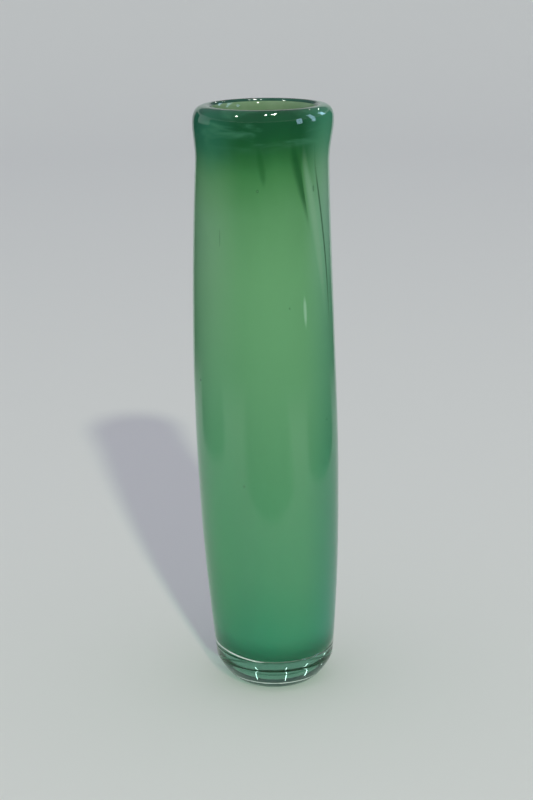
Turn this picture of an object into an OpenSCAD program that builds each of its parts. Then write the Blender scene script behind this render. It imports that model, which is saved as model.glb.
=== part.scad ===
// Stem vase in cased glass: a hand-blown tube with a rolled lip and a heavy clear foot.
// Three coats of glass are fused face to face, from outside to inside: clear, green, opal.
// Five streaks of other glass are let into the green coat.
// Origin at the centre of the resting face, +Z up along the axis, millimetres.

/* [Outside] */
// Height from the resting face to the crest of the lip
height = 250; // [200:1:300]
// Radius of the flat that the vase stands on
rest_r = 16.5; // [14:0.5:18]
// Radius at the top of the rounded heel
heel_r = 25.6; // [24:0.1:27]
// Pull of the outline towards the lower belly
low_belly_r = 32.8; // [31:0.1:34]
// Pull of the outline towards the upper belly
high_belly_r = 30.2; // [29:0.1:32]
// Radius of the neck under the lip
neck_r = 27.5; // [26.5:0.1:28.5]
// Widest radius of the lip
lip_r = 28.8; // [28:0.1:31]

/* [Mouth] */
// Radius of the crest, the highest ring of the lip
crest_r = 23; // [22.5:0.1:24]
// Radius of the straight throat that stems pass through
throat_r = 20.8; // [19:0.1:21.5]
// Length of the straight throat
throat_h = 5; // [4:0.5:8]

/* [Coats of glass] */
// Thickness of the clear casing over the body
clear_t = 2.2; // [1.5:0.1:2.5]
// Thickness of the green coat
green_t = 1.6; // [1.2:0.1:2]
// Thickness of the opal lining
opal_t = 1.4; // [1:0.1:1.8]
// Clear glass under the green coat, on the axis
foot_t = 10.3; // [9:0.1:14]
// How much thicker than their walls the coats' floors are
floor_share = 2.2; // [1.5:0.1:3]
// Radius of the ground hollow that takes the pontil scar under the foot
pontil_r = 8; // [6:0.5:10]
// Depth of that ground hollow
pontil_depth = 0.8; // [0.4:0.1:1.2]

/* [Streaks] */
// Width of the broad dark streak under the lip
dark_w = 3.6; // [2:0.1:4]
// Width of the long pale streak
pale_w = 3.4; // [2:0.1:3.6]
// Width of the hair-thin streak beside the pale one
hair_w = 0.9; // [0.6:0.1:1.2]
// Width of the short streak in the middle
drip_w = 2; // [1:0.1:3]
// Width of the pale fleck
fleck_w = 1.2; // [0.8:0.1:2]

/* [Hidden] */
$fn = 96;

// Points along a curve, along a coat's floor, along the body's outline and along a streak
curve_steps = 8;
bowl_steps = 12;
body_steps = 24;
streak_steps = 6;

// Heights of the ring where each stretch of the outline meets the next
heel_z = height * 0.044;
neck_z = height * 0.904;
lip_z = height * 0.974;
throat_z = height * 0.982;
body_h = neck_z - heel_z;

// How far the outline's curves keep their direction past a joint
heel_pull = heel_z * 0.25;
rest_pull = (heel_r - rest_r) * 0.35;
neck_pull = 7;
shoulder_pull = neck_pull / 2;
lip_pull = 5;
crest_pull = 3.9;
bead_pull = 1.5;
bead_rise = 2.55;

// Depths of the seams below the outer surface
green_in = clear_t;
opal_in = clear_t + green_t;
cavity_in = clear_t + green_t + opal_t;

// Floors of the two coats and of the cavity, and how high their corners climb
green_floor = foot_t;
opal_floor = green_floor + floor_share * green_t;
cavity_floor = opal_floor + floor_share * opal_t;
green_rise = 17;
opal_rise = 18;
cavity_rise = 19;

// A coat's floor is a bowl. It stays level over the first share of its radius and runs
// upright into the wall over the second share of its rise.
bowl_level = 0.55;
bowl_upright = 0.55;

// The crest, where the clear coat thins out and the green one comes to the surface,
// and the pulls of the seams that run up to it
crest = [crest_r, height];
green_neck_pull = [0.3, 10];
green_crest_pull = [5.4, -1.2];
opal_neck_pull = [0, 8];
opal_top_pull = [1.6, -3.5];

// Width of a streak's two ends as a share of its full width
tip_share = 0.25;

// Routes of the streaks: turn about the axis in degrees, then four points that pull
// the middle line, each [sideways in mm, share of the height]
dark_turn = 32;
dark_route = [[-5.6, 0.964], [-4, 0.92], [0, 0.884], [3.2, 0.8]];
pale_turn = 47;
pale_route = [[-6.7, 0.952], [-3.6, 0.88], [2.5, 0.784], [5.4, 0.648]];
hair_turn = 57;
hair_route = [[-4.5, 0.952], [-2.6, 0.856], [4.6, 0.784], [4.2, 0.6]];
drip_turn = -6;
drip_route = [[-1.9, 0.952], [-1.4, 0.924], [0, 0.904], [0.2, 0.872]];
fleck_turn = 31;
fleck_route = [[-0.2, 0.704], [0, 0.688], [0.1, 0.668], [0.4, 0.642]];

function bezier(a, b, c, d, steps) =
    [for (i = [0 : steps]) let (t = i / steps, s = 1 - t)
        s * s * s * a + 3 * s * s * t * b + 3 * s * t * t * c + t * t * t * d];

function reversed(list) = [for (i = [len(list) - 1 : -1 : 0]) list[i]];

// A curve without its first point, which the curve before it already gives
function rest_of(list) = [for (i = [1 : len(list) - 1]) list[i]];

// The points of a curve from one step to another
function stretch(list, first, last) = [for (i = [first : last]) list[i]];

// Outer radius of the body between heel and neck: a cubic in height
function body_r(z) =
    let (t = (z - heel_z) / body_h, s = 1 - t)
        s * s * s * heel_r + 3 * s * s * t * low_belly_r
        + 3 * s * t * t * high_belly_r + t * t * t * neck_r;

// Slope of that outline at its two ends
low_slope = 3 * (low_belly_r - heel_r) / body_h;
high_slope = 3 * (neck_r - high_belly_r) / body_h;

// The body's outline from height z0 up to the neck, moved inwards
function wall(inwards, z0) =
    [for (i = [0 : body_steps]) let (z = z0 + (neck_z - z0) * i / body_steps)
        [body_r(z) - inwards, z]];

// A coat's floor, from the axis out and up to its wall
function floor_curve(inwards, floor_z, rise) =
    let (top_z = floor_z + rise, r = body_r(top_z) - inwards, pull = rise * bowl_upright)
        bezier([0, floor_z], [r * bowl_level, floor_z],
               [r - low_slope * pull, top_z - pull], [r, top_z], bowl_steps);

heel = bezier([rest_r, 0], [rest_r + rest_pull, 0],
              [heel_r - low_slope * heel_pull, heel_z - heel_pull],
              [heel_r, heel_z], curve_steps);
neck = bezier([neck_r, neck_z], [neck_r + high_slope * neck_pull, neck_z + neck_pull],
              [lip_r, lip_z - lip_pull], [lip_r, lip_z], curve_steps);
lip_outside = bezier([lip_r, lip_z], [lip_r, lip_z + lip_pull],
                     [crest_r + crest_pull, height], crest, curve_steps);
lip_inside = bezier(crest, [crest_r - bead_pull, height],
                    [throat_r, throat_z + bead_rise], [throat_r, throat_z], curve_steps);
throat = bezier([throat_r, throat_z - throat_h], [throat_r, throat_z - throat_h - neck_pull],
                [neck_r - cavity_in - high_slope * neck_pull, neck_z + shoulder_pull],
                [neck_r - cavity_in, neck_z], curve_steps);

// The green coat shows on the upper half of the lip's inside; the lining ends below it
green_edge = stretch(lip_inside, 0, curve_steps / 2);
opal_edge = stretch(lip_inside, curve_steps / 2, curve_steps);
opal_top = opal_edge[0];

// The seams inside the lip, from the neck up
green_foot = [neck_r - green_in, neck_z];
opal_foot = [neck_r - opal_in, neck_z];
green_outside = bezier(green_foot, green_foot + green_neck_pull,
                       crest + green_crest_pull, crest, curve_steps);
green_inside = bezier(opal_foot, opal_foot + opal_neck_pull,
                      opal_top + opal_top_pull, opal_top, curve_steps);

// Each surface from the axis or the resting face up to its highest point
outer_surface = concat(heel, rest_of(wall(0, heel_z)), rest_of(neck), rest_of(lip_outside));
green_seam = concat(floor_curve(green_in, green_floor, green_rise),
                    rest_of(wall(green_in, green_floor + green_rise)), rest_of(green_outside));
opal_seam = concat(floor_curve(opal_in, opal_floor, opal_rise),
                   rest_of(wall(opal_in, opal_floor + opal_rise)), rest_of(green_inside));
cavity_surface = concat(floor_curve(cavity_in, cavity_floor, cavity_rise),
                        rest_of(wall(cavity_in, cavity_floor + cavity_rise)),
                        rest_of(reversed(throat)), reversed(opal_edge));

// Each coat's section lies between its outer and its inner surface
clear_section = concat([[0, 0]], outer_surface, rest_of(reversed(green_seam)));
green_section = concat(green_seam, rest_of(green_edge), rest_of(reversed(opal_seam)));
opal_section = concat(opal_seam, rest_of(reversed(cavity_surface)));

module revolved(section) {
    rotate_extrude() polygon(section);
}

module green_blank() {
    revolved(green_section);
}

// A streak's cutter: a ribbon that narrows to both ends, run from the axis outwards
module ribbon(turn, route, width) {
    points = [for (p = route) [p[0], p[1] * height]];
    middle = bezier(points[0], points[1], points[2], points[3], streak_steps);
    half = [for (i = [0 : streak_steps])
        width / 2 * (tip_share + (1 - tip_share) * sin(180 * i / streak_steps))];
    left = [for (i = [0 : streak_steps]) middle[i] - [half[i], 0]];
    right = [for (i = [0 : streak_steps]) middle[i] + [half[i], 0]];
    rotate([90, 0, turn])
        linear_extrude(height = lip_r + 1) polygon(concat(left, reversed(right)));
}

module dark_ribbon() {
    ribbon(dark_turn, dark_route, dark_w);
}

module pale_ribbon() {
    ribbon(pale_turn, pale_route, pale_w);
}

module hair_ribbon() {
    ribbon(hair_turn, hair_route, hair_w);
}

module drip_ribbon() {
    ribbon(drip_turn, drip_route, drip_w);
}

module fleck_ribbon() {
    ribbon(fleck_turn, fleck_route, fleck_w);
}

// Outermost coat: the foot, the body's skin and the outer half of the lip
module clear_casing() {
    color([0.80, 0.89, 0.85, 0.35])
        difference() {
            revolved(clear_section);
            translate([0, 0, -1]) cylinder(r = pontil_r, h = 1 + pontil_depth);
        }
}

// Middle coat, with the seats of the streaks cut out
module green_coat() {
    color([0.16, 0.46, 0.27])
        difference() {
            green_blank();
            dark_ribbon();
            pale_ribbon();
            hair_ribbon();
            drip_ribbon();
            fleck_ribbon();
        }
}

// Innermost coat: the wall and floor of the cavity and the inner half of the lip
module opal_lining() {
    color([0.62, 0.74, 0.50])
        revolved(opal_section);
}

module dark_streak() {
    color([0.05, 0.25, 0.12])
        intersection() {
            green_blank();
            dark_ribbon();
        }
}

module pale_streak() {
    color([0.55, 0.75, 0.60])
        intersection() {
            green_blank();
            pale_ribbon();
        }
}

module hair_streak() {
    color([0.07, 0.24, 0.14])
        intersection() {
            green_blank();
            hair_ribbon();
        }
}

module drip_streak() {
    color([0.09, 0.30, 0.13])
        intersection() {
            green_blank();
            drip_ribbon();
        }
}

module pale_fleck() {
    color([0.62, 0.84, 0.70])
        intersection() {
            green_blank();
            fleck_ribbon();
        }
}

clear_casing();
green_coat();
opal_lining();
dark_streak();
pale_streak();
hair_streak();
drip_streak();
pale_fleck();
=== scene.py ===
import bpy
import math
from mathutils import Matrix, Vector


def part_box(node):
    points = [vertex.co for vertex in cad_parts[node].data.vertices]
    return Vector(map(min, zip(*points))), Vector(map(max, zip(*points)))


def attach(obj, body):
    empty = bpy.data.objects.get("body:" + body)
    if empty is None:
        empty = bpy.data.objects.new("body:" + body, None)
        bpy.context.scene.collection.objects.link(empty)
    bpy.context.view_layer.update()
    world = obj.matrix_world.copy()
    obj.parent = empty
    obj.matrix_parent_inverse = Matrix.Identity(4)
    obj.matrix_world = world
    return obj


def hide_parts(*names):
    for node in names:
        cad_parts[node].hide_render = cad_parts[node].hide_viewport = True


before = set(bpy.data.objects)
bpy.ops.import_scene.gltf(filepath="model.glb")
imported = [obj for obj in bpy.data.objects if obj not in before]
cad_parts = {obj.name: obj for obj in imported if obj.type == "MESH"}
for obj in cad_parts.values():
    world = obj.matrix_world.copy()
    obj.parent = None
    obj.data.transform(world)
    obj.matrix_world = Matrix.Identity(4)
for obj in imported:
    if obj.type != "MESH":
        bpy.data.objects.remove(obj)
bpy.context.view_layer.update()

scene = bpy.context.scene
mm = 0.001

print("stage: camera")

# where the viewer stands: metres from the vase's axis, and the lens in millimetres
camera = {
    "back": 0.6985,
    "side": -0.0025,
    "height": 0.3255,
    "pitchDown": 16.0,   # degrees
    "roll": -0.74,       # the camera was held slightly askew
    "lens": 76.9,
}


def makeCamera():
    data = bpy.data.cameras.new("camera")
    data.lens = camera["lens"]
    data.sensor_width = 36
    data.clip_start, data.clip_end = 0.05, 40
    thing = bpy.data.objects.new("camera", data)
    scene.collection.objects.link(thing)
    tilt = Matrix.Rotation(math.radians(90 - camera["pitchDown"]), 4, "X")
    roll = Matrix.Rotation(math.radians(camera["roll"]), 4, "Z")
    place = Matrix.Translation((camera["side"], -camera["back"], camera["height"]))
    thing.matrix_world = place @ tilt @ roll
    scene.camera = thing


makeCamera()

# The vase's driving dimensions in millimetres, the same as in the CAD model. A pull says how far the
# curve's handle stands off its end: aside and up.
vase = {
    "height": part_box("clear_casing")[1][2] / mm,
    "levels": (0.044, 0.904, 0.974, 0.982),   # heel, neck, lip and throat, as shares of the height
    "restRadius": 16.5,
    "heelRadius": 25.6,
    "heelLevel": 0.35,           # how far the foot's curve stays level, and how far it stands upright
    "heelUpright": 0.25,
    "lowBelly": 32.8,
    "highBelly": 30.2,
    "neckRadius": 27.5,
    "neckPull": 7,
    "lipRadius": 28.8,
    "lipPull": 5,
    "crestRadius": 23,
    "crestPull": 3.9,
    "throatRadius": 20.8,
    "throatHeight": 5,
    "throatPull": (3.5, 7),
    "beadPull": (1.5, 2.55),
    "clearCoat": 2.2,
    "greenCoat": 1.6,
    "opalCoat": 1.4,
    "greenEdge": (0.5, 0.9),     # how far inside the crest and below it the green coat ends
    "greenNeckPull": (0.3, 10),
    "greenCrestPull": (5.9, -0.3),
    "opalNeckPull": (0, 8),
    "opalTopPull": (0.5, -3.1),
    "foot": 10.3,                # clear glass under the green coat, at the axis
    "floorShare": 2.2,           # how much thicker a floor is than its wall
    "floorPull": 0.55,           # how far a bowl-shaped floor stays level, and how far it stands upright
    "greenRise": 17,             # how high each coat's bowl-shaped floor climbs to its wall
    "opalRise": 18,
    "cavityRise": 19,
    "hollowRadius": 8,
    "hollowDepth": 0.8,
    "seamHeight": 15.6,          # where the clear foot was gathered over the body: a fine groove
    "seamDepth": 0.22,
    "bow": (-1.2, -5.5, -2.2),   # a hand-blown tube is never quite straight: sideways pulls, foot to lip
    "ripple": 0.16,              # how far the outer skin wanders from a true round
    "rippleSeed": 3.0,
    "gap": 0.05,                 # between fused surfaces, so that none lies exactly on another
    "around": 224,               # points round each ring
    "lipRows": 9,                # rows of points inside the crest that show the green coat's edge
}

height = vase["height"]
heelZ, neckZ, lipZ, throatZ = [height * share for share in vase["levels"]]
bodyHeight = neckZ - heelZ
greenIn = vase["clearCoat"]
opalIn = greenIn + vase["greenCoat"]
cavityIn = opalIn + vase["opalCoat"]
greenFloor = vase["foot"]
opalFloor = greenFloor + vase["floorShare"] * vase["greenCoat"]
cavityFloor = opalFloor + vase["floorShare"] * vase["opalCoat"]
greenTop = (vase["crestRadius"] - vase["greenEdge"][0], height - vase["greenEdge"][1])
lowSlope = 3 * (vase["lowBelly"] - vase["heelRadius"]) / bodyHeight
highSlope = 3 * (vase["neckRadius"] - vase["highBelly"]) / bodyHeight


def curve(a, b, c, d, steps):
    points = []
    for step in range(steps + 1):
        t = step / steps
        weights = ((1 - t) ** 3, 3 * (1 - t) ** 2 * t, 3 * (1 - t) * t * t, t ** 3)
        points.append(tuple(sum(w * p[k] for w, p in zip(weights, (a, b, c, d))) for k in (0, 1)))
    return points


def bodyRadius(z):
    t = (z - heelZ) / bodyHeight
    return ((1 - t) ** 3 * vase["heelRadius"] + 3 * (1 - t) ** 2 * t * vase["lowBelly"]
            + 3 * (1 - t) * t * t * vase["highBelly"] + t ** 3 * vase["neckRadius"])


def wall(inwards, bottom, steps=72):
    heights = [bottom + (neckZ - bottom) * step / steps for step in range(steps + 1)]
    return [(bodyRadius(z) - inwards, z) for z in heights]


def floorCurve(inwards, floorZ, rise):
    # a blown floor is a bowl: level at the axis, and upright where it meets the wall
    topZ = floorZ + rise
    radius = bodyRadius(topZ) - inwards
    level, upright = radius * vase["floorPull"], rise * vase["floorPull"]
    return curve((0, floorZ), (level, floorZ),
                 (radius - lowSlope * upright, topZ - upright), (radius, topZ), 36)


def joined(*stretches):
    points = list(stretches[0])
    for stretch in stretches[1:]:
        points += stretch[1:]
    return points


def outerOutline():
    rest, heel, neck = vase["restRadius"], vase["heelRadius"], vase["neckRadius"]
    lip, crest = vase["lipRadius"], vase["crestRadius"]
    hollow, depth = vase["hollowRadius"], vase["hollowDepth"]
    dish = curve((0, depth), (hollow * 0.7, depth), (hollow * 0.8, 0), (hollow, 0), 10)
    ring = [(hollow + (rest - hollow) * step / 5, 0) for step in range(6)]
    upright = heelZ * vase["heelUpright"]
    heelCurve = curve((rest, 0), (rest + vase["heelLevel"] * (heel - rest), 0),
                      (heel - lowSlope * upright, heelZ - upright), (heel, heelZ), 40)
    neckPull, lipPull = vase["neckPull"], vase["lipPull"]
    neckCurve = curve((neck, neckZ), (neck + highSlope * neckPull, neckZ + neckPull),
                      (lip, lipZ - lipPull), (lip, lipZ), 20)
    lipCurve = curve((lip, lipZ), (lip, lipZ + lipPull),
                     (crest + vase["crestPull"], height), (crest, height), 24)
    seam, groove = vase["seamHeight"], vase["seamDepth"]
    low = [(bodyRadius(z), z) for z in (heelZ, heelZ + 1.5, seam - 1, seam - 0.35)]
    # the groove's rounded section, as [share of its depth, millimetres up from its middle]
    notch = [(bodyRadius(seam) - groove * share, seam + rise) for share, rise in
             ((0.0, -0.3), (0.45, -0.2), (0.9, -0.06), (1.0, 0), (0.9, 0.06), (0.45, 0.2), (0.0, 0.3))]
    return joined(dish, ring, heelCurve, low, [low[-1]] + notch,
                  [notch[-1]] + wall(0, seam + 0.35), neckCurve, lipCurve)


def coatSeam(inwards, floorZ, rise, neckPull, topPull, gap, edgeIn=0.0):
    # the face between two coats, from the floor to the green coat's edge; a gap moves it inwards and
    # stops it short of the edge
    inner = inwards + gap
    neck = vase["neckRadius"] - inner
    topX, topZ = greenTop[0], greenTop[1] - gap
    top = curve((neck, neckZ), (neck + neckPull[0], neckZ + neckPull[1]),
                (topX + topPull[0] - gap, topZ + topPull[1]), (topX - edgeIn, topZ), 24)
    return joined(floorCurve(inner, floorZ + gap, rise), wall(inner, floorZ + rise + gap), top)


def greenSeam(gap):
    return coatSeam(greenIn, greenFloor, vase["greenRise"],
                    vase["greenNeckPull"], vase["greenCrestPull"], gap)


def opalSeam(gap):
    return coatSeam(opalIn, opalFloor, vase["opalRise"],
                    vase["opalNeckPull"], vase["opalTopPull"], gap, edgeIn=gap)


def cavityOutline():
    throat, crest, neck = vase["throatRadius"], vase["crestRadius"], vase["neckRadius"] - cavityIn
    low = throatZ - vase["throatHeight"]
    (neckPull, throatPull), (crestPull, beadPull) = vase["throatPull"], vase["beadPull"]
    throatCurve = curve((neck, neckZ), (neck - highSlope * vase["neckPull"], neckZ + neckPull),
                        (throat, low - throatPull), (throat, low), 16)
    bead = curve((throat, throatZ), (throat, throatZ + beadPull),
                 (crest - crestPull, height), (crest, height), 20)
    rise = vase["cavityRise"]
    return joined(floorCurve(cavityIn, cavityFloor, rise), wall(cavityIn, cavityFloor + rise),
                  throatCurve, [throatCurve[-1]] + bead)


def addNode(tree, kind, inputs=(), **settings):
    # inputs are a row of values or a dictionary by name; a node among them lends its first output.
    # A colour mix reads inputs 0, 6 and 7 and gives output 2.
    node = tree.nodes.new(kind)
    for name, value in settings.items():
        setattr(node, name, value)
    for name, value in (inputs.items() if isinstance(inputs, dict) else enumerate(inputs)):
        if isinstance(value, bpy.types.Node):
            value = value.outputs[0]
        if isinstance(value, bpy.types.NodeSocket):
            tree.links.new(value, node.inputs[name])
        else:
            node.inputs[name].default_value = value
    return node


def colour(hexCode):
    channels = [int(hexCode[k:k + 2], 16) / 255 for k in (1, 3, 5)]
    return tuple(c / 12.92 if c <= 0.04045 else ((c + 0.055) / 1.055) ** 2.4 for c in channels) + (1,)


print("stage: glass materials")


def startMaterial(name):
    material = bpy.data.materials.new(name)
    material.use_nodes = True
    tree = material.node_tree
    tree.nodes.clear()
    return material, tree, addNode(tree, "ShaderNodeOutputMaterial")


# The clear glass. Noise scales are waves per metre; the iron's tint is for a metre of glass.
clearGlassLook = {
    "colour": "#eef7f2",
    "waves": (60, 60, 14),      # tool marks 17 mm across and 70 mm long
    "waveDepth": 0.6,           # millimetres
    "groundRoughness": 0.35,
    "groundEdge": (8.3, 7.8),   # the ground hollow's edge: millimetres from the axis
    "groundTop": (3, 2),        # and millimetres up; all above is polished
    "iron": (0.10, 0.58, 0.40, 1),
    "ironDensity": 42.0,
    "lampTint": (0.95, 0.97, 0.96, 1),   # of lamp light let straight through
}

# Two fine painted highlight lines, in millimetres: white painted where light catches the fold where the foot
# was gathered over the body, clearest at the left and dipping to the front, and white painted where light
# catches the heel in front and behind
highlightLineLook = {
    "colour": "#f0fffa",
    "lineBreakup": 250.0,              # per metre: specks of 4 mm that leave the lines uneven
    "foldHeight": (15.6, 17.4),   # in front, and at the left
    "foldAcross": (-6, -26),      # where it starts and ends its climb
    "foldEdge": (0.5, 0.18),      # nothing shows beyond the first distance, all within the second
    "foldClear": (-3, -11),
    "foldFaintest": 0.12,
    "heelHeight": 3.8,
    "heelEdge": (0.45, 0.2),
    "heelClear": (10, 17),        # the heel line shows in front and behind, not at the sides
}


def passLamps(tree, glass):
    # lamps and diffuse light go straight through clear glass, so that what lies under it is lit without noise
    clear = addNode(tree, "ShaderNodeBsdfTransparent", {"Color": clearGlassLook["lampTint"]})
    path = addNode(tree, "ShaderNodeLightPath").outputs
    first = addNode(tree, "ShaderNodeMixShader", (path["Is Diffuse Ray"], glass, clear))
    return addNode(tree, "ShaderNodeMixShader", (path["Is Shadow Ray"], first, clear))


def lineAt(tree, height, edge, level, along, clear, faintest=0.0):
    # one painted highlight line round the glass at this height, which fades along one axis
    rise = addNode(tree, "ShaderNodeMath", (height, level), operation="SUBTRACT")
    away = addNode(tree, "ShaderNodeMath", (rise,), operation="ABSOLUTE")
    line = addNode(tree, "ShaderNodeMapRange", (away, edge[0] * mm, edge[1] * mm),
                   interpolation_type="SMOOTHSTEP")
    shows = addNode(tree, "ShaderNodeMapRange", (along, clear[0] * mm, clear[1] * mm, faintest, 1.0),
                    interpolation_type="SMOOTHSTEP")
    return addNode(tree, "ShaderNodeMath", (line, shows), operation="MULTIPLY")


# how much painted highlight covers the glass: white painted along the foot's fold and along the heel, broken
# by specks
def paintHighlightLines(tree, place, axes):
    marks = highlightLineLook
    start, end = marks["foldAcross"]
    low, high = marks["foldHeight"]
    foldLevel = addNode(tree, "ShaderNodeMapRange", (axes["X"], start * mm, end * mm, low * mm, high * mm),
                        interpolation_type="SMOOTHSTEP")
    fold = lineAt(tree, axes["Z"], marks["foldEdge"], foldLevel, axes["X"],
                  marks["foldClear"], marks["foldFaintest"])
    depth = addNode(tree, "ShaderNodeMath", (axes["Y"],), operation="ABSOLUTE")
    heel = lineAt(tree, axes["Z"], marks["heelEdge"], marks["heelHeight"] * mm, depth, marks["heelClear"])
    either = addNode(tree, "ShaderNodeMath", (fold, heel), operation="MAXIMUM")
    lineBreakup = addNode(tree, "ShaderNodeTexNoise", {"Vector": place, "Scale": marks["lineBreakup"], "Detail": 3.0})
    uneven = addNode(tree, "ShaderNodeMapRange", (lineBreakup, 0.3, 0.6, 0.75, 1.0),
                     interpolation_type="SMOOTHSTEP")
    return addNode(tree, "ShaderNodeMath", (either, uneven), operation="MULTIPLY")


def groundShare(tree, place, axes):
    # 1 in the shallow hollow that was ground under the foot, 0 on the fire-polished rest
    flat = addNode(tree, "ShaderNodeVectorMath", (place, (1, 1, 0)), operation="MULTIPLY")
    fromAxis = addNode(tree, "ShaderNodeVectorMath", (flat,), operation="LENGTH").outputs["Value"]
    share = 1.0
    for value, span in ((fromAxis, "groundEdge"), (axes["Z"], "groundTop")):
        start, end = clearGlassLook[span]
        fade = addNode(tree, "ShaderNodeMapRange", (value, start * mm, end * mm),
                       interpolation_type="SMOOTHSTEP")
        share = addNode(tree, "ShaderNodeMath", (share, fade), operation="MULTIPLY")
    return share


def makeClearGlass():
    # Fire-polished clear soda-lime glass: wet-looking gloss with faint waves from the tools, ground grey
    # only in the small hollow under the foot
    material, tree, out = startMaterial("firePolishedClearGlass")
    look = clearGlassLook
    place = addNode(tree, "ShaderNodeTexCoord").outputs["Object"]
    axes = addNode(tree, "ShaderNodeSeparateXYZ", (place,)).outputs
    stretched = addNode(tree, "ShaderNodeMapping", {"Vector": place, "Scale": look["waves"]})
    waves = addNode(tree, "ShaderNodeTexNoise", {"Vector": stretched, "Scale": 1.0, "Detail": 2.0})
    bump = addNode(tree, "ShaderNodeBump", {
        "Height": waves, "Strength": 0.25, "Distance": look["waveDepth"] * mm})
    ground = groundShare(tree, place, axes)
    rough = addNode(tree, "ShaderNodeMath", (ground, look["groundRoughness"]), operation="MULTIPLY")
    glass = addNode(tree, "ShaderNodeBsdfPrincipled", {
        "Base Color": colour(look["colour"]), "Roughness": rough, "IOR": 1.5,
        "Transmission Weight": 1.0, "Normal": bump})
    # painted highlights: white lines painted over the glass along the fold and the heel
    white = addNode(tree, "ShaderNodeBsdfDiffuse", {"Color": colour(highlightLineLook["colour"])})
    lines = paintHighlightLines(tree, place, axes)
    lined = addNode(tree, "ShaderNodeMixShader", (lines, passLamps(tree, glass), white))
    tree.links.new(lined.outputs[0], out.inputs["Surface"])
    # iron in the glass: nothing to see in the thin wall, green in the deep foot
    depth = addNode(tree, "ShaderNodeVolumeAbsorption", {
        "Color": look["iron"], "Density": look["ironDensity"]})
    tree.links.new(depth.outputs[0], out.inputs["Volume"])
    return material


def makeSeam():
    # Where two glasses are fused there is no surface left to see
    material, tree, out = startMaterial("fusedSeam")
    clear = addNode(tree, "ShaderNodeBsdfTransparent", {"Color": (1, 1, 1, 1)})
    tree.links.new(clear.outputs[0], out.inputs["Surface"])
    return material


greenLipLook = {
    "dark": "#1d3f37",
    "pale": "#3c6e5c",
    "wisps": (90, 90, 500),   # per metre: 11 mm long and 2 mm thick
    "roughness": 0.04,
}


def makeGreenLip():
    # The green coat comes to the surface just inside the crest, fire-polished: a dark glossy edge with wisps
    material, tree, out = startMaterial("greenLipGlass")
    place = addNode(tree, "ShaderNodeTexCoord").outputs["Object"]
    look = greenLipLook
    wound = addNode(tree, "ShaderNodeMapping", {"Vector": place, "Scale": look["wisps"]})
    wisps = addNode(tree, "ShaderNodeTexNoise", {"Vector": wound, "Scale": 1.0, "Detail": 3.0})
    tint = addNode(tree, "ShaderNodeMix", {
        0: wisps, 6: colour(look["dark"]), 7: colour(look["pale"])}, data_type="RGBA").outputs[2]
    gloss = addNode(tree, "ShaderNodeBsdfPrincipled", {
        "Base Color": tint, "Roughness": look["roughness"], "IOR": 1.5})
    tree.links.new(gloss.outputs[0], out.inputs["Surface"])
    return material


# Colours of the green glass by height, foot to lip: at the left, in front and at the right. The side columns
# hold painted light: painted reflections make both sides paler high up, and painted shade makes the right
# bluer and darker. The lowest colours are painted brighter against the shade under the coat.
greenGlassAndPaintedLight = {
    "heights": (0.06, 0.10, 0.22, 0.45, 0.70, 0.83, 0.90, 0.945, 1.0),
    "left": ("#2dab82", "#4ebf8c", "#6fcc90", "#89d1a3", "#acdaaf",
             "#add9b5", "#94cb94", "#489c7d", "#478873"),
    "front": ("#30c095", "#43b189", "#6dbd90", "#85c396", "#9bd4a1",
              "#86c18d", "#5ca565", "#216c40", "#336750"),
    "right": ("#2cbf9d", "#3eb39b", "#5bb396", "#64b48d", "#9bd3b3",
              "#c8edde", "#cff3db", "#87d5af", "#60af98"),
    "leftSpan": (-10, -26),   # millimetres aside: where the side's colours start and where they are full
    "rightSpan": (11, 26),
    "cloud": 34,              # millimetres across one soft cloud in the milky glass
    "wisp": "#6fb596",
    "wispScale": (55, 55, 210),   # per metre: 18 mm long and 5 mm thick
    "wispSpan": (232, 241),       # millimetres up: where the wisps start and where they are full
    "wispCover": 0.6,
    "glow": 0.35,             # share of light that passes through the milky coat
}


def heightRamp(tree, share, hexCodes):
    ramp = addNode(tree, "ShaderNodeValToRGB", {"Fac": share})
    ramp.color_ramp.interpolation = "B_SPLINE"
    stops = ramp.color_ramp.elements
    while len(stops) < len(hexCodes):
        stops.new(0.5)
    for stop, at, code in zip(stops, greenGlassAndPaintedLight["heights"], hexCodes):
        stop.position = at
        stop.color = colour(code)
    return ramp.outputs["Color"]


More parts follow.
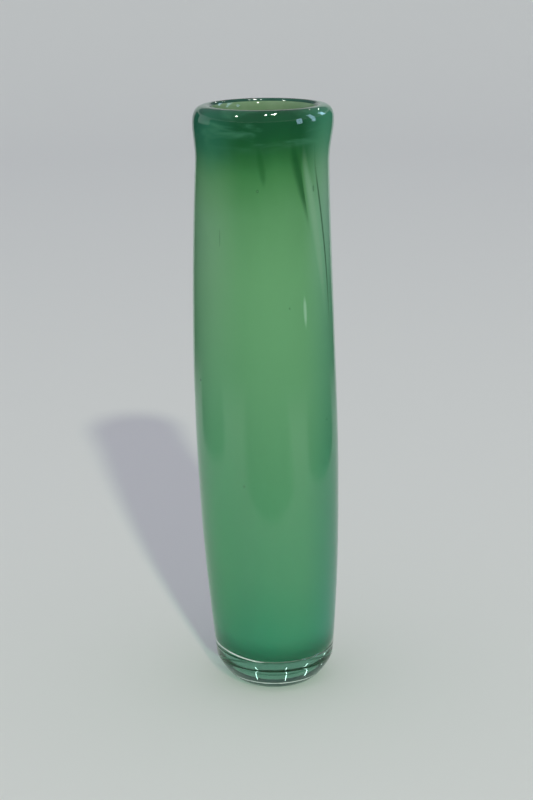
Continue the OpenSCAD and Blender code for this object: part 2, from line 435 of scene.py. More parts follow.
def coatColourAndPaintedLight(tree):
    # The milky green's colour anywhere on the coat: deeper at both ends and bluer to the right, with painted
    # light in it: painted reflections pale the upper sides, painted shade darkens and blues the right, and
    # the foot end is painted brighter than its shade would leave it
    place = addNode(tree, "ShaderNodeTexCoord").outputs["Object"]
    axes = addNode(tree, "ShaderNodeSeparateXYZ", (place,)).outputs
    cloud = 1 / (greenGlassAndPaintedLight["cloud"] * mm)
    stretched = addNode(tree, "ShaderNodeMapping", {"Vector": place, "Scale": (cloud, cloud, cloud * 0.3)})
    clouds = addNode(tree, "ShaderNodeTexNoise", {"Vector": stretched, "Scale": 1.0, "Detail": 3.0})
    drift = addNode(tree, "ShaderNodeMapRange", (clouds, 0.3, 0.7, -0.02, 0.02))
    level = addNode(tree, "ShaderNodeMath", (axes["Z"], height * mm), operation="DIVIDE")
    share = addNode(tree, "ShaderNodeMath", (level, drift), operation="ADD")
    mixed = heightRamp(tree, share, greenGlassAndPaintedLight["front"])
    # the sides: painted reflections make the upper left and right paler, and painted shade makes the right
    # bluer and darker
    for name in ("left", "right"):
        start, end = greenGlassAndPaintedLight[name + "Span"]
        aside = addNode(tree, "ShaderNodeMapRange", (axes["X"], start * mm, end * mm),
                        interpolation_type="SMOOTHSTEP")
        mixed = addNode(tree, "ShaderNodeMix", {
            0: aside, 6: mixed, 7: heightRamp(tree, share, greenGlassAndPaintedLight[name])}, data_type="RGBA").outputs[2]
    # paler wisps that run round the lip, where the coats were turned over
    wound = addNode(tree, "ShaderNodeMapping", {"Vector": place, "Scale": greenGlassAndPaintedLight["wispScale"]})
    wisps = addNode(tree, "ShaderNodeTexNoise", {
        "Vector": wound, "Scale": 1.0, "Detail": 4.0, "Distortion": 0.4})
    start, end = greenGlassAndPaintedLight["wispSpan"]
    amount = greenGlassAndPaintedLight["wispCover"]
    for value, low, high in ((wisps, 0.44, 0.72), (axes["Z"], start * mm, end * mm)):
        fade = addNode(tree, "ShaderNodeMapRange", (value, low, high), interpolation_type="SMOOTHSTEP")
        amount = addNode(tree, "ShaderNodeMath", (amount, fade), operation="MULTIPLY")
    return addNode(tree, "ShaderNodeMix", {
        0: amount, 6: mixed, 7: colour(greenGlassAndPaintedLight["wisp"])}, data_type="RGBA").outputs[2]


def milky(tree, out, tint):
    # Milky glass under clear glass has no surface of its own: it only scatters, and lets some light through
    diffuse = addNode(tree, "ShaderNodeBsdfDiffuse", {"Color": tint})
    through = addNode(tree, "ShaderNodeBsdfTranslucent", {"Color": tint})
    mixed = addNode(tree, "ShaderNodeMixShader", (greenGlassAndPaintedLight["glow"], diffuse, through))
    tree.links.new(mixed.outputs[0], out.inputs["Surface"])


def makeGreenGlass():
    # Opal-backed green overlay, blown: a soft milky body that deepens under the lip and at the foot, its
    # colour carrying painted reflections and painted shade at the sides
    material, tree, out = startMaterial("milkyGreenOverlay")
    milky(tree, out, coatColourAndPaintedLight(tree))
    return material


def makeStreakGlass(name, hexCode, cover):
    # A drawn streak of another glass: strongest along its middle and lost in the green at its edges and ends
    material, tree, out = startMaterial(name)
    across = addNode(tree, "ShaderNodeAttribute", attribute_name="across").outputs["Fac"]
    along = addNode(tree, "ShaderNodeAttribute", attribute_name="along").outputs["Fac"]
    mask = cover
    for value, start, end in ((across, 1.0, 0.1), (along, 0.0, 0.35), (along, 1.0, 0.7)):
        fade = addNode(tree, "ShaderNodeMapRange", (value, start, end), interpolation_type="SMOOTHSTEP")
        mask = addNode(tree, "ShaderNodeMath", (mask, fade), operation="MULTIPLY")
    # round the streak, the coat's own colour with its painted light and shade
    tint = addNode(tree, "ShaderNodeMix", {
        0: mask, 6: coatColourAndPaintedLight(tree), 7: colour(hexCode)}, data_type="RGBA").outputs[2]
    milky(tree, out, tint)
    return material


opalLook = {
    "dark": "#8fb58c",
    "pale": "#a9caa5",
    "ribs": (220, 220, 9),   # per metre: a rib every 4.5 mm
    "ribDepth": 0.3,         # millimetres
    "roughness": 0.06,
    "glow": 0.4,             # share of light that passes through
}


def makeOpalGlass():
    # Opal glass seen from inside the vase: pale yellow-green, glossy and faintly ribbed along its length
    material, tree, out = startMaterial("opalLiningGlass")
    place = addNode(tree, "ShaderNodeTexCoord").outputs["Object"]
    look = opalLook
    stretched = addNode(tree, "ShaderNodeMapping", {"Vector": place, "Scale": look["ribs"]})
    ribs = addNode(tree, "ShaderNodeTexNoise", {"Vector": stretched, "Scale": 1.0, "Detail": 2.0})
    tint = addNode(tree, "ShaderNodeMix", {
        0: ribs, 6: colour(look["dark"]), 7: colour(look["pale"])}, data_type="RGBA").outputs[2]
    bump = addNode(tree, "ShaderNodeBump", {
        "Height": ribs, "Strength": 0.3, "Distance": look["ribDepth"] * mm})
    gloss = addNode(tree, "ShaderNodeBsdfPrincipled", {
        "Base Color": tint, "Roughness": look["roughness"], "IOR": 1.5, "Normal": bump})
    through = addNode(tree, "ShaderNodeBsdfTranslucent", {"Color": tint})
    mixed = addNode(tree, "ShaderNodeMixShader", (look["glow"], gloss, through))
    tree.links.new(mixed.outputs[0], out.inputs["Surface"])
    return material


clearGlass = makeClearGlass()
fusedSeam = makeSeam()
greenLip = makeGreenLip()
greenOverlay = makeGreenGlass()
opalGlass = makeOpalGlass()

print("stage: blown coats")


def startTree(name, kinds):
    # a Geometry Nodes tree that takes and gives a geometry, with a named input for each size and thing
    tree = bpy.data.node_groups.new(name, "GeometryNodeTree")
    for way in ("INPUT", "OUTPUT"):
        tree.interface.new_socket("Geometry", in_out=way, socket_type="NodeSocketGeometry")
    for label, kind in kinds.items():
        tree.interface.new_socket(label, in_out="INPUT", socket_type="NodeSocket" + kind)
    return tree, addNode(tree, "NodeGroupInput").outputs


def layGrid(tree, line, columns):
    # a flat grid with one row for each point of a line, and, for each row, where that point of the line lies
    here = addNode(tree, "GeometryNodeInputPosition")
    rows = addNode(tree, "GeometryNodeAttributeDomainSize", {"Geometry": line}).outputs["Point Count"]
    grid = addNode(tree, "GeometryNodeMeshGrid", {
        "Size X": 1.0, "Size Y": 1.0, "Vertices X": columns, "Vertices Y": rows}).outputs["Mesh"]
    onGrid = addNode(tree, "ShaderNodeSeparateXYZ", (here,)).outputs
    along = addNode(tree, "ShaderNodeMath", (onGrid["Y"], 0.5), operation="ADD")
    lastRow = addNode(tree, "ShaderNodeMath", (rows, 1), operation="SUBTRACT")
    exactRow = addNode(tree, "ShaderNodeMath", (along, lastRow), operation="MULTIPLY")
    row = addNode(tree, "ShaderNodeMath", (exactRow,), operation="ROUND")
    found = addNode(tree, "GeometryNodeSampleIndex", {
        "Geometry": line, "Value": here, "Index": row}, data_type="FLOAT_VECTOR")
    point = addNode(tree, "ShaderNodeSeparateXYZ", (found,)).outputs
    return {"grid": grid, "x": onGrid["X"], "along": along, "row": row, "point": point}


def makeBlowTree():
    # Spins an outline of [radius, 0, height] points round the axis, bends it to the bow and ripples its skin
    tree, start = startTree("blownCoat", {
        "Around": "Int", "Height": "Float", "Low Bow": "Float", "High Bow": "Float", "Lip Bow": "Float",
        "Ripple": "Float", "Ripple Seed": "Float", "Skin Rows": "Int", "Band Rows": "Int",
        "Skin": "Material", "Band": "Material", "Inside": "Material"})
    columns = addNode(tree, "ShaderNodeMath", (start["Around"], 1), operation="ADD")
    laid = layGrid(tree, start["Geometry"], columns)
    profile = laid["point"]
    part = addNode(tree, "ShaderNodeMath", (laid["x"], 0.5), operation="ADD")
    turn = addNode(tree, "ShaderNodeMath", (part, math.tau), operation="MULTIPLY")
    up = addNode(tree, "ShaderNodeMath", (profile["Z"], start["Height"]), operation="DIVIDE")
    down = addNode(tree, "ShaderNodeMath", (1, up), operation="SUBTRACT")
    # the bow is a cubic curve that starts upright on the axis
    bow = 0.0
    for factors in ((3, down, down, up, start["Low Bow"]), (3, down, up, up, start["High Bow"]),
                    (1, up, up, up, start["Lip Bow"])):
        term = factors[0]
        for factor in factors[1:]:
            term = addNode(tree, "ShaderNodeMath", (term, factor), operation="MULTIPLY")
        bow = addNode(tree, "ShaderNodeMath", (bow, term), operation="ADD")
    cosine = addNode(tree, "ShaderNodeMath", (turn,), operation="COSINE")
    sine = addNode(tree, "ShaderNodeMath", (turn,), operation="SINE")
    # ripples are long along the axis, short round it, and die out at the foot, the crest and inside
    way = addNode(tree, "ShaderNodeCombineXYZ", (cosine, sine, up))
    where = addNode(tree, "ShaderNodeVectorMath", (way, (1.3, 1.3, 4)), operation="MULTIPLY")
    noise = addNode(tree, "ShaderNodeTexNoise", {
        "Vector": where, "W": start["Ripple Seed"], "Scale": 1.0, "Detail": 1.0}, noise_dimensions="4D")
    ripple = addNode(tree, "ShaderNodeMath", (noise, 0.5), operation="SUBTRACT")
    fadeLow = addNode(tree, "ShaderNodeMapRange", (up, 0.02, 0.1))
    fadeHigh = addNode(tree, "ShaderNodeMapRange", (up, 1.0, 0.96))
    onSkin = addNode(tree, "ShaderNodeMath", (laid["row"], start["Skin Rows"]), operation="LESS_THAN")
    for factor in (4, start["Ripple"], fadeLow, fadeHigh, onSkin):
        ripple = addNode(tree, "ShaderNodeMath", (ripple, factor), operation="MULTIPLY")
    radius = addNode(tree, "ShaderNodeMath", (profile["X"], ripple), operation="ADD")
    ring = addNode(tree, "ShaderNodeCombineXYZ", (cosine, sine))
    wide = addNode(tree, "ShaderNodeVectorMath", {0: ring, "Scale": radius}, operation="SCALE")
    middle = addNode(tree, "ShaderNodeCombineXYZ", (bow, 0, profile["Z"]))
    spun = addNode(tree, "ShaderNodeVectorMath", (wide, middle), operation="ADD")
    kept = addNode(tree, "GeometryNodeStoreNamedAttribute", {
        "Geometry": laid["grid"], "Name": "row", "Value": laid["row"]}, data_type="FLOAT", domain="POINT")
    shaped = addNode(tree, "GeometryNodeSetPosition", {"Geometry": kept, "Position": spun})
    closed = addNode(tree, "GeometryNodeMergeByDistance", {"Geometry": shaped, "Distance": 1e-6})
    smoothed = addNode(tree, "GeometryNodeSetShadeSmooth", {"Geometry": closed})
    readRow = addNode(tree, "GeometryNodeInputNamedAttribute", {"Name": "row"}, data_type="FLOAT")
    onFace = addNode(tree, "GeometryNodeFieldOnDomain", (readRow,), data_type="FLOAT", domain="FACE")
    whole = addNode(tree, "GeometryNodeRealizeInstances", {"Geometry": smoothed})
    glazed = addNode(tree, "GeometryNodeSetMaterial", {"Geometry": whole, "Material": start["Inside"]})
    lastBand = addNode(tree, "ShaderNodeMath", (start["Skin Rows"], start["Band Rows"]), operation="ADD")
    for lastRow, glass in ((lastBand, "Band"), (start["Skin Rows"], "Skin")):
        chosen = addNode(tree, "ShaderNodeMath", (onFace, lastRow), operation="LESS_THAN")
        glazed = addNode(tree, "GeometryNodeSetMaterial", {
            "Geometry": glazed, "Selection": chosen, "Material": start[glass]})
    addNode(tree, "NodeGroupOutput", (glazed,))
    return tree


blowTree = makeBlowTree()


def lineObject(name, points, edges):
    mesh = bpy.data.meshes.new(name)
    mesh.from_pydata(points, edges, [])
    thing = bpy.data.objects.new(name, mesh)
    scene.collection.objects.link(thing)
    return thing


def chain(points):
    return [(k, k + 1) for k in range(len(points) - 1)]


def setInputs(modifier, tree, wanted):
    modifier.node_group = tree
    for item in tree.interface.items_tree:
        if item.in_out == "INPUT" and item.name in wanted:
            modifier[item.identifier] = wanted[item.name]


def meltModifier(thing, name):
    # The modifier's result becomes a plain mesh in a new object
    evaluated = thing.evaluated_get(bpy.context.evaluated_depsgraph_get())
    mesh = bpy.data.meshes.new_from_object(evaluated)
    bpy.data.objects.remove(thing)
    mesh.name = name
    piece = bpy.data.objects.new(name, mesh)
    scene.collection.objects.link(piece)
    return piece


def blow(name, skinSide, innerSide, skin, inside, ripple=0, band=None, bandRows=0):
    # the outline runs up the skin's side and back down the inner side, which may start with a band
    points = [(radius * mm, 0, z * mm) for radius, z in skinSide + innerSide]
    thing = lineObject(name + "Outline", points, chain(points))
    low, high, lip = [pull * mm for pull in vase["bow"]]
    setInputs(thing.modifiers.new("blow", "NODES"), blowTree, {
        "Around": vase["around"], "Height": float(height * mm), "Low Bow": low, "High Bow": high,
        "Lip Bow": lip, "Ripple": float(ripple * mm), "Ripple Seed": vase["rippleSeed"],
        "Skin Rows": len(skinSide), "Band Rows": bandRows,
        "Skin": skin, "Band": band or skin, "Inside": inside})
    return meltModifier(thing, name)


gap = vase["gap"]
casing = blow("clearCasing", outerOutline(), greenSeam(0)[::-1], clearGlass, fusedSeam, vase["ripple"])
coat = blow("greenCoat", greenSeam(2 * gap), opalSeam(-gap)[::-1][1:], greenOverlay, fusedSeam)
lining = blow("opalLining", opalSeam(0), cavityOutline()[::-1], fusedSeam, opalGlass,
              band=greenLip, bandRows=vase["lipRows"])

# Seed bubbles caught in the clear coat: [turn in degrees, height, width, length] in mm
bubbles = {
    "depth": 1.1,           # millimetres below the skin
    "around": 16,           # points round each bubble
    "list": ((-4, 218.6, 0.9, 1.3), (-64, 138, 0.7, 1.1), (-38, 199.5, 0.35, 7.0),
             (22, 171, 0.5, 0.8), (-20, 96, 0.5, 0.9), (58, 121, 0.45, 0.8),
             (48.7, 218.2, 0.7, 2.6),
             (140, 160, 0.6, 1.0), (-150, 84, 0.7, 1.2), (176, 205, 0.5, 1.6)),
}


def makeBubbleTree():
    # Puts a stretched air bubble, its faces turned inwards, at every point of the second object
    tree, start = startTree("seedBubbles", {"Places": "Object", "Around": "Int", "Glass": "Material"})
    places = addNode(tree, "GeometryNodeObjectInfo", {"Object": start["Places"]}).outputs["Geometry"]
    ball = addNode(tree, "GeometryNodeMeshUVSphere", {
        "Segments": start["Around"], "Rings": start["Around"], "Radius": 0.5}).outputs["Mesh"]
    smoothBall = addNode(tree, "GeometryNodeSetShadeSmooth", {"Geometry": ball})
    hole = addNode(tree, "GeometryNodeFlipFaces", {"Mesh": smoothBall})
    size = addNode(tree, "GeometryNodeInputNamedAttribute", {"Name": "size"}, data_type="FLOAT_VECTOR")
    bubble = addNode(tree, "GeometryNodeInstanceOnPoints", {
        "Points": places, "Instance": hole, "Scale": size})
    whole = addNode(tree, "GeometryNodeRealizeInstances", {"Geometry": bubble})
    glass = addNode(tree, "GeometryNodeSetMaterial", {"Geometry": whole, "Material": start["Glass"]})
    both = addNode(tree, "GeometryNodeJoinGeometry", (glass,))
    tree.links.new(start["Geometry"], both.inputs[0])
    addNode(tree, "NodeGroupOutput", (both,))
    return tree


def bowAt(z):
    up = z / height
    low, high, lip = vase["bow"]
    return 3 * (1 - up) ** 2 * up * low + 3 * (1 - up) * up * up * high + up ** 3 * lip


def addBubbles(piece):
    points, sizes = [], []
    for turn, z, wide, long in bubbles["list"]:
        radius = bodyRadius(z) - bubbles["depth"]
        a = math.radians(turn)
        points.append(((bowAt(z) + radius * math.sin(a)) * mm, -radius * math.cos(a) * mm, z * mm))
        sizes += [wide * mm, wide * mm, long * mm]
    places = lineObject("bubblePlaces", points, [])
    places.data.attributes.new("size", "FLOAT_VECTOR", "POINT").data.foreach_set("vector", sizes)
    setInputs(piece.modifiers.new("bubbles", "NODES"), makeBubbleTree(), {
        "Places": places, "Around": bubbles["around"], "Glass": clearGlass})
    name = piece.name
    piece.name = name + "Plain"
    melted = meltModifier(piece, name)
    bpy.data.objects.remove(places)
    return melted


casing = addBubbles(casing)

for piece, node, slotName in ((casing, "clear_casing", "clear_glass"), (coat, "green_coat", "green_glass"),
                              (lining, "opal_lining", "opal_glass")):
    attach(piece, "root")
    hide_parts(node)

print("stage: streaks")

# Each streak: its turn round the axis in degrees, four points that pull its middle line
# [sideways in mm, share of the height], its width in mm, its colour and how strongly it covers
streaks = {
    "darkStreak": {
        "node": "dark_streak", "slot": "dark_green_glass", "turn": 32, "width": 6.4, "colour": "#1c6236",
        "cover": 0.66, "lift": 0.03, "route": ((-5.6, 0.964), (-4.0, 0.92), (0.0, 0.884), (3.2, 0.80))},
    "paleStreak": {
        "node": "pale_streak", "slot": "pale_green_glass", "turn": 47, "width": 6.4, "colour": "#b9dcc2",
        "cover": 0.6, "lift": 0.05, "route": ((-6.7, 0.952), (-3.6, 0.88), (2.5, 0.784), (5.4, 0.648))},
    "hairStreak": {
        "node": "hair_streak", "slot": "dark_green_glass", "turn": 57, "width": 1.8, "colour": "#174f30",
        "cover": 0.7, "lift": 0.07, "route": ((-4.5, 0.952), (-2.6, 0.856), (4.6, 0.784), (4.2, 0.6))},
    "dripStreak": {
        "node": "drip_streak", "slot": "dark_green_glass", "turn": -6, "width": 4.2, "colour": "#1f6a34",
        "cover": 0.42, "lift": 0.03, "route": ((-1.9, 0.952), (-1.4, 0.924), (0.0, 0.904), (0.2, 0.872))},
    "paleFleck": {
        "node": "pale_fleck", "slot": "pale_green_glass", "turn": 31, "width": 2.4, "colour": "#d2f2dc",
        "cover": 0.8, "lift": 0.05, "route": ((-0.2, 0.704), (0, 0.688), (0.1, 0.668), (0.4, 0.642))},
}

# What all streaks share: points across and along, the share of the width left at a tip, depth in mm
ribbon = {"across": 11, "steps": 60, "tip": 0.25, "depth": 0.6}


def makeStreakTree():
    # Lays a tapered ribbon on the coat, following a route of [sideways, 0, height] points, and thickens it
    tree, start = startTree("drawnStreak", {
        "Across": "Int", "Turn": "Float", "Width": "Float", "Tip": "Float", "Lift": "Float",
        "Depth": "Float", "Coat": "Object", "Glass": "Material"})
    laid = layGrid(tree, start["Geometry"], start["Across"])
    along, middle = laid["along"], laid["point"]
    bend = addNode(tree, "ShaderNodeMath", (along, math.pi), operation="MULTIPLY")
    swell = addNode(tree, "ShaderNodeMath", (bend,), operation="SINE")
    share = addNode(tree, "ShaderNodeMapRange", (swell, 0, 1, start["Tip"], 1))
    offset = laid["x"]
    for factor in (start["Width"], share):
        offset = addNode(tree, "ShaderNodeMath", (offset, factor), operation="MULTIPLY")
    aside = addNode(tree, "ShaderNodeMath", (middle["X"], offset), operation="ADD")
    # rays from outside find the coat's skin and the way it faces
    outside = addNode(tree, "ShaderNodeCombineXYZ", (aside, -60 * mm, middle["Z"]))
    source = addNode(tree, "ShaderNodeVectorRotate", {
        "Vector": outside, "Angle": start["Turn"]}, rotation_type="Z_AXIS")
    inwards = addNode(tree, "ShaderNodeVectorRotate", {
        "Vector": (0, 1, 0), "Angle": start["Turn"]}, rotation_type="Z_AXIS")
    coatMesh = addNode(tree, "GeometryNodeObjectInfo", {"Object": start["Coat"]}).outputs["Geometry"]
    found = addNode(tree, "GeometryNodeRaycast", {
        "Target Geometry": coatMesh, "Source Position": source, "Ray Direction": inwards,
        "Ray Length": 0.1}).outputs
    across = addNode(tree, "ShaderNodeMath", (laid["x"], 2), operation="MULTIPLY")
    fromMiddle = addNode(tree, "ShaderNodeMath", (across,), operation="ABSOLUTE")
    marked = laid["grid"]
    for name, value in (("across", fromMiddle), ("along", along)):
        marked = addNode(tree, "GeometryNodeStoreNamedAttribute", {
            "Geometry": marked, "Name": name, "Value": value}, data_type="FLOAT", domain="POINT")
    normal = addNode(tree, "GeometryNodeCaptureAttribute", {"Geometry": marked})
    normal.capture_items.new("VECTOR", "out")
    tree.links.new(found["Hit Normal"], normal.inputs[1])
    sunk = addNode(tree, "ShaderNodeVectorMath", {
        0: found["Hit Normal"], "Scale": start["Depth"]}, operation="SCALE")
    below = addNode(tree, "ShaderNodeVectorMath", (found["Hit Position"], sunk), operation="SUBTRACT")
    patch = addNode(tree, "GeometryNodeSetPosition", {"Geometry": normal, "Position": below})
    thick = addNode(tree, "ShaderNodeMath", (start["Depth"], start["Lift"]), operation="ADD")
    raised = addNode(tree, "GeometryNodeExtrudeMesh", {
        "Mesh": patch, "Offset": normal.outputs[1], "Offset Scale": thick, "Individual": False}, mode="FACES")
    under = addNode(tree, "GeometryNodeFlipFaces", {"Mesh": patch})
    both = addNode(tree, "GeometryNodeJoinGeometry", (raised,))
    tree.links.new(under.outputs[0], both.inputs[0])
    closed = addNode(tree, "GeometryNodeMergeByDistance", {"Geometry": both, "Distance": 1e-6})
    whole = addNode(tree, "GeometryNodeRealizeInstances", {"Geometry": closed})
    glass = addNode(tree, "GeometryNodeSetMaterial", {"Geometry": whole, "Material": start["Glass"]})
    addNode(tree, "NodeGroupOutput", (glass,))
    return tree


streakTree = makeStreakTree()


def drawStreak(name, look):
    route = [(aside * mm, share * height * mm) for aside, share in look["route"]]
    points = [(x, 0, z) for x, z in curve(*route, ribbon["steps"])]
    thing = lineObject(name + "Route", points, chain(points))
    setInputs(thing.modifiers.new("draw", "NODES"), streakTree, {
        "Across": ribbon["across"], "Turn": math.radians(look["turn"]), "Width": look["width"] * mm,
        "Tip": ribbon["tip"], "Lift": look["lift"] * mm, "Depth": ribbon["depth"] * mm, "Coat": coat,
        "Glass": makeStreakGlass(name + "Glass", look["colour"], look["cover"])})
    piece = meltModifier(thing, name)
    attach(piece, "root")
    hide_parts(look["node"])


for streakName, streakLook in streaks.items():
    drawStreak(streakName, streakLook)

print("stage: floor and light")

studio = {
    "floorRadius": 3.4,
    "wallHeight": 1.3,
    "floorDrop": 0.0002,    # the paper lies this far under the foot, so that the two never touch
    "floor": "#e2e6e3",
    "skyColour": (0.83, 0.81, 0.94),
    "skyStrength": 0.63,
    "roomInGloss": 0.3,     # how much of the sky is seen in reflections; the room itself is dim
    "keyAzimuth": 13,       # degrees to the right of the viewer
    "keyHeight": 34,        # degrees above the floor
    "keyDistance": 5.0,
    "keyTarget": (0, 0, 0.1),
    "keySize": 0.22,
    "keyPower": 101,
    "keyColour": (0.95, 1.0, 0.75),
}


def around(azimuth, elevation, distance):
    a, e = math.radians(azimuth), math.radians(elevation)
    return (math.sin(a) * math.cos(e) * distance, -math.cos(a) * math.cos(e) * distance,
            math.sin(e) * distance)


def overhead(aside, over, distance):
    a, o = math.radians(aside), math.radians(over)
    return (math.sin(a) * distance, -math.cos(a) * math.cos(o) * distance,
            math.cos(a) * math.sin(o) * distance)


def makeFloor():
    # Pale paper, swept up in a wide bowl so that no edge shows from any side; its fibres are 1 mm apart
    material, tree, out = startMaterial("palePaper")
    place = addNode(tree, "ShaderNodeTexCoord").outputs["Object"]
    fibres = addNode(tree, "ShaderNodeTexNoise", {"Vector": place, "Scale": 900.0, "Detail": 3.0})
    bump = addNode(tree, "ShaderNodeBump", {"Height": fibres, "Strength": 0.05, "Distance": 0.2 * mm})
    paper = addNode(tree, "ShaderNodeBsdfPrincipled", {
        "Base Color": colour(studio["floor"]), "Roughness": 0.9, "Specular IOR Level": 0.2, "Normal": bump})
    tree.links.new(paper.outputs[0], out.inputs["Surface"])
    flat, rise, columns, steps = studio["floorRadius"] / 2, studio["wallHeight"], 96, 24
    rows = [(flat, 0)]
    for step in range(1, steps + 1):
        bend = math.pi / 2 * step / steps
        rows.append((flat + flat * math.sin(bend), rise * (1 - math.cos(bend))))
    points = [(0, 0, -studio["floorDrop"])]
    for distance, z in rows:
        points += [(distance * math.cos(math.tau * k / columns), distance * math.sin(math.tau * k / columns),
                    z - studio["floorDrop"]) for k in range(columns)]
    faces = [(0, 1 + k, 1 + (k + 1) % columns) for k in range(columns)]
    for ring in range(len(rows) - 1):
        low, high = 1 + ring * columns, 1 + (ring + 1) * columns
        for k in range(columns):
            after = (k + 1) % columns
            faces.append((low + k, high + k, high + after, low + after))
    mesh = bpy.data.meshes.new("paperFloor")
    mesh.from_pydata(points, [], faces)
    mesh.polygons.foreach_set("use_smooth", [True] * len(mesh.polygons))
    mesh.materials.append(material)
    paperFloor = bpy.data.objects.new("paperFloor", mesh)
    scene.collection.objects.link(paperFloor)


def makeSky():
    world = bpy.data.worlds.new("studio")
    world.use_nodes = True
    tree = world.node_tree
    tree.nodes.clear()
    tint, strength = studio["skyColour"] + (1,), studio["skyStrength"]
    sky = addNode(tree, "ShaderNodeBackground", {"Color": tint, "Strength": strength})
    room = addNode(tree, "ShaderNodeBackground", {
        "Color": tint, "Strength": strength * studio["roomInGloss"]})
    path = addNode(tree, "ShaderNodeLightPath").outputs
    seen = addNode(tree, "ShaderNodeMixShader", (path["Is Glossy Ray"], sky, room))
    addNode(tree, "ShaderNodeOutputWorld", {"Surface": seen})
    scene.world = world


def makeKeyLamp():
    data = bpy.data.lights.new("keyLamp", "AREA")
    data.shape = "DISK"
    data.size = studio["keySize"]
    data.energy = studio["keyPower"]
    data.color = studio["keyColour"]
    lamp = bpy.data.objects.new("keyLamp", data)
    way = Vector(around(studio["keyAzimuth"], studio["keyHeight"], 1))
    lamp.location = Vector(studio["keyTarget"]) + way * studio["keyDistance"]
    lamp.rotation_mode = "QUATERNION"
    lamp.rotation_quaternion = way.to_track_quat("Z", "Y")
    scene.collection.objects.link(lamp)


# What the glass mirrors. The room beyond the table is dim; its edges give the long rounded
# reflections down the body. Directions are [azimuth, elevation] in degrees, sizes too.
cards = {
    # the table's edges as [way to it, metres to it, how soft, azimuths it spans, how soft its ends are]
    "tableEdges": (((0, -1), 0.205, 0.03, (-33, 37), 7),
                   ((-1, 0), 0.3, 0.04, (-122, -70), 5),
                   ((1, 0), 0.295, 0.035, (66, 128), 5)),
    "tableDim": 0.9,
    "dimFrom": (0.4, 0.65),   # metres: the room is fully dim beyond the second distance, all round
    "dimSpan": (-150, 150),   # the cloth leaves the back open
    "nearest": 0.16,          # metres from the axis to the cloth's first row of points
    "rowGrowth": 1.06,        # how much further each row is than the one before
    "rows": 39,
    "reach": 1.6,
    "curtainHeight": 0.62,
    "cloth": "#15181a",
    "glowDistance": 1.4,
    # windows and a pale wall as [azimuth, elevation, wide, tall]
    "windows": ((60, 9, 11, 20), (88, 18, 10, 34), (120, 21, 12, 18)),
    "windowColour": (0.48, 0.74, 1.0),
    "windowStrength": 7.0,
    "glow": (-112, 8, 34, 22),
    "glowColour": (0.75, 0.95, 0.9),
    "glowStrength": 0.75,
    # ceiling spots as [to the right, up and over from the front, wide, tall]
    "spots": ((2.6, 81, 1.0, 10), (8.9, 88.6, 2.0, 20), (16.5, 86, 0.8, 8), (-31.6, 74, 3.5, 6),
              (15.6, 140, 1.2, 3), (18.1, 148, 0.8, 3)),
    "spotColour": (1, 0.97, 0.9),
    "spotStrength": 80.0,
    # strip lights behind the vase, seen through the foot, as [azimuth, wide]
    "strips": ((165, 0.5), (-172, 0.5), (-154, 0.8), (-130, 1.6)),
    "stripPlace": (17, 14),   # elevation, tall
    "stripColour": (1, 0.62, 0.78),
    "stripStrength": 12.0,
}


def makeCard(name, points, faces, material):
    # a studio card that shows only in reflections
    mesh = bpy.data.meshes.new(name)
    mesh.from_pydata(points, [], faces)
    mesh.materials.append(material)
    card = bpy.data.objects.new(name, mesh)
    scene.collection.objects.link(card)
    card.visible_camera = card.visible_diffuse = card.visible_shadow = False
    card.visible_transmission = card.visible_volume_scatter = False
    return card


def smooth(value, start, end):
    t = min(1.0, max(0.0, (value - start) / (end - start)))
    return t * t * (3 - 2 * t)


def dimness(azimuth, distance):
    # how dark the surroundings look from the vase towards this point of the floor
    x, y = around(azimuth, 0, distance)[:2]
    near = 0
    for (toX, toY), edge, soft, (first, last), endSoft in cards["tableEdges"]:
        inSpan = smooth(azimuth, first - endSoft, first + endSoft)
        inSpan *= 1 - smooth(azimuth, last - endSoft, last + endSoft)
        near = max(near, inSpan * smooth(x * toX + y * toY, edge, edge + soft))
    return max(cards["tableDim"] * near, smooth(distance, *cards["dimFrom"]))


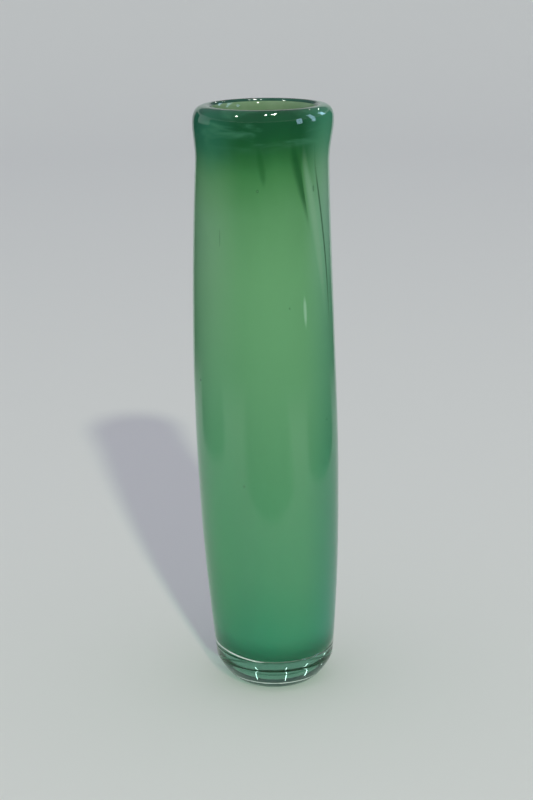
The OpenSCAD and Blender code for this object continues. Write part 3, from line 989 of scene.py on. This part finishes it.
def makeCloth():
    # Dark matt cloth, laid flat and hung at its far edge, that fades out towards the vase
    cloth, tree, out = startMaterial("dimRoomCloth")
    weave = addNode(tree, "ShaderNodeBsdfDiffuse", {"Color": colour(cards["cloth"])})
    nothing = addNode(tree, "ShaderNodeBsdfTransparent", {"Color": (1, 1, 1, 1)})
    dim = addNode(tree, "ShaderNodeAttribute", attribute_name="dim").outputs["Fac"]
    mixed = addNode(tree, "ShaderNodeMixShader", (dim, nothing, weave))
    tree.links.new(mixed.outputs[0], out.inputs["Surface"])
    azimuths = range(cards["dimSpan"][0], cards["dimSpan"][1] + 1, 2)
    distances = [cards["nearest"] * cards["rowGrowth"] ** k for k in range(cards["rows"])] + [cards["reach"]]
    points, dims, faces = [], [], []
    for azimuth in azimuths:
        for distance in distances:
            points.append(around(azimuth, 0, distance)[:2] + (1 * mm,))
            dims.append(dimness(azimuth, distance))
        points.append(around(azimuth, 0, cards["reach"])[:2] + (cards["curtainHeight"],))
        dims.append(1.0)
    row = len(distances) + 1
    for first in range(0, (len(azimuths) - 1) * row, row):
        faces += [(first + k, first + k + 1, first + row + k + 1, first + row + k) for k in range(row - 1)]
    card = makeCard("dimRoomCloth", points, faces, cloth)
    card.data.attributes.new("dim", "FLOAT", "POINT").data.foreach_set("value", dims)


def makeGlowing(name, material, first, second, wide, tall, throughGlass=False, place=around):
    # a glowing card, seen from the lip or, if it shows only through the glass, from the foot
    rise = Vector((0, 0, 0 if throughGlass else height * mm))
    points = [Vector(place(first + a * wide / 2, second + e * tall / 2, cards["glowDistance"])) + rise
              for a, e in ((-1, -1), (1, -1), (1, 1), (-1, 1))]
    card = makeCard(name, points, [(0, 1, 2, 3)], material)
    card.visible_transmission = throughGlass
    card.visible_glossy = not throughGlass


def glowing(name, tint, strength):
    material, tree, out = startMaterial(name)
    glow = addNode(tree, "ShaderNodeEmission", {"Color": tint + (1,), "Strength": strength})
    tree.links.new(glow.outputs[0], out.inputs["Surface"])
    return material


def makeCards():
    makeCloth()
    pane = glowing("daylightPane", cards["windowColour"], cards["windowStrength"])
    for number, window in enumerate(cards["windows"]):
        makeGlowing("windowPane%d" % number, pane, *window)
    makeGlowing("paleWall", glowing("paleWall", cards["glowColour"], cards["glowStrength"]), *cards["glow"])
    bulb = glowing("ceilingSpot", cards["spotColour"], cards["spotStrength"])
    for number, spot in enumerate(cards["spots"]):
        makeGlowing("ceilingSpot%d" % number, bulb, *spot, place=overhead)
    tube = glowing("stripLight", cards["stripColour"], cards["stripStrength"])
    elevation, tall = cards["stripPlace"]
    for number, (azimuth, wide) in enumerate(cards["strips"]):
        makeGlowing("stripLight%d" % number, tube, azimuth, elevation, wide, tall, throughGlass=True)


makeFloor()
makeSky()
makeKeyLamp()
makeCards()

scene.view_settings.view_transform = "Standard"
scene.cycles.max_bounces = 24
scene.cycles.transmission_bounces = 24
scene.cycles.transparent_max_bounces = 32
scene.cycles.diffuse_bounces = 6
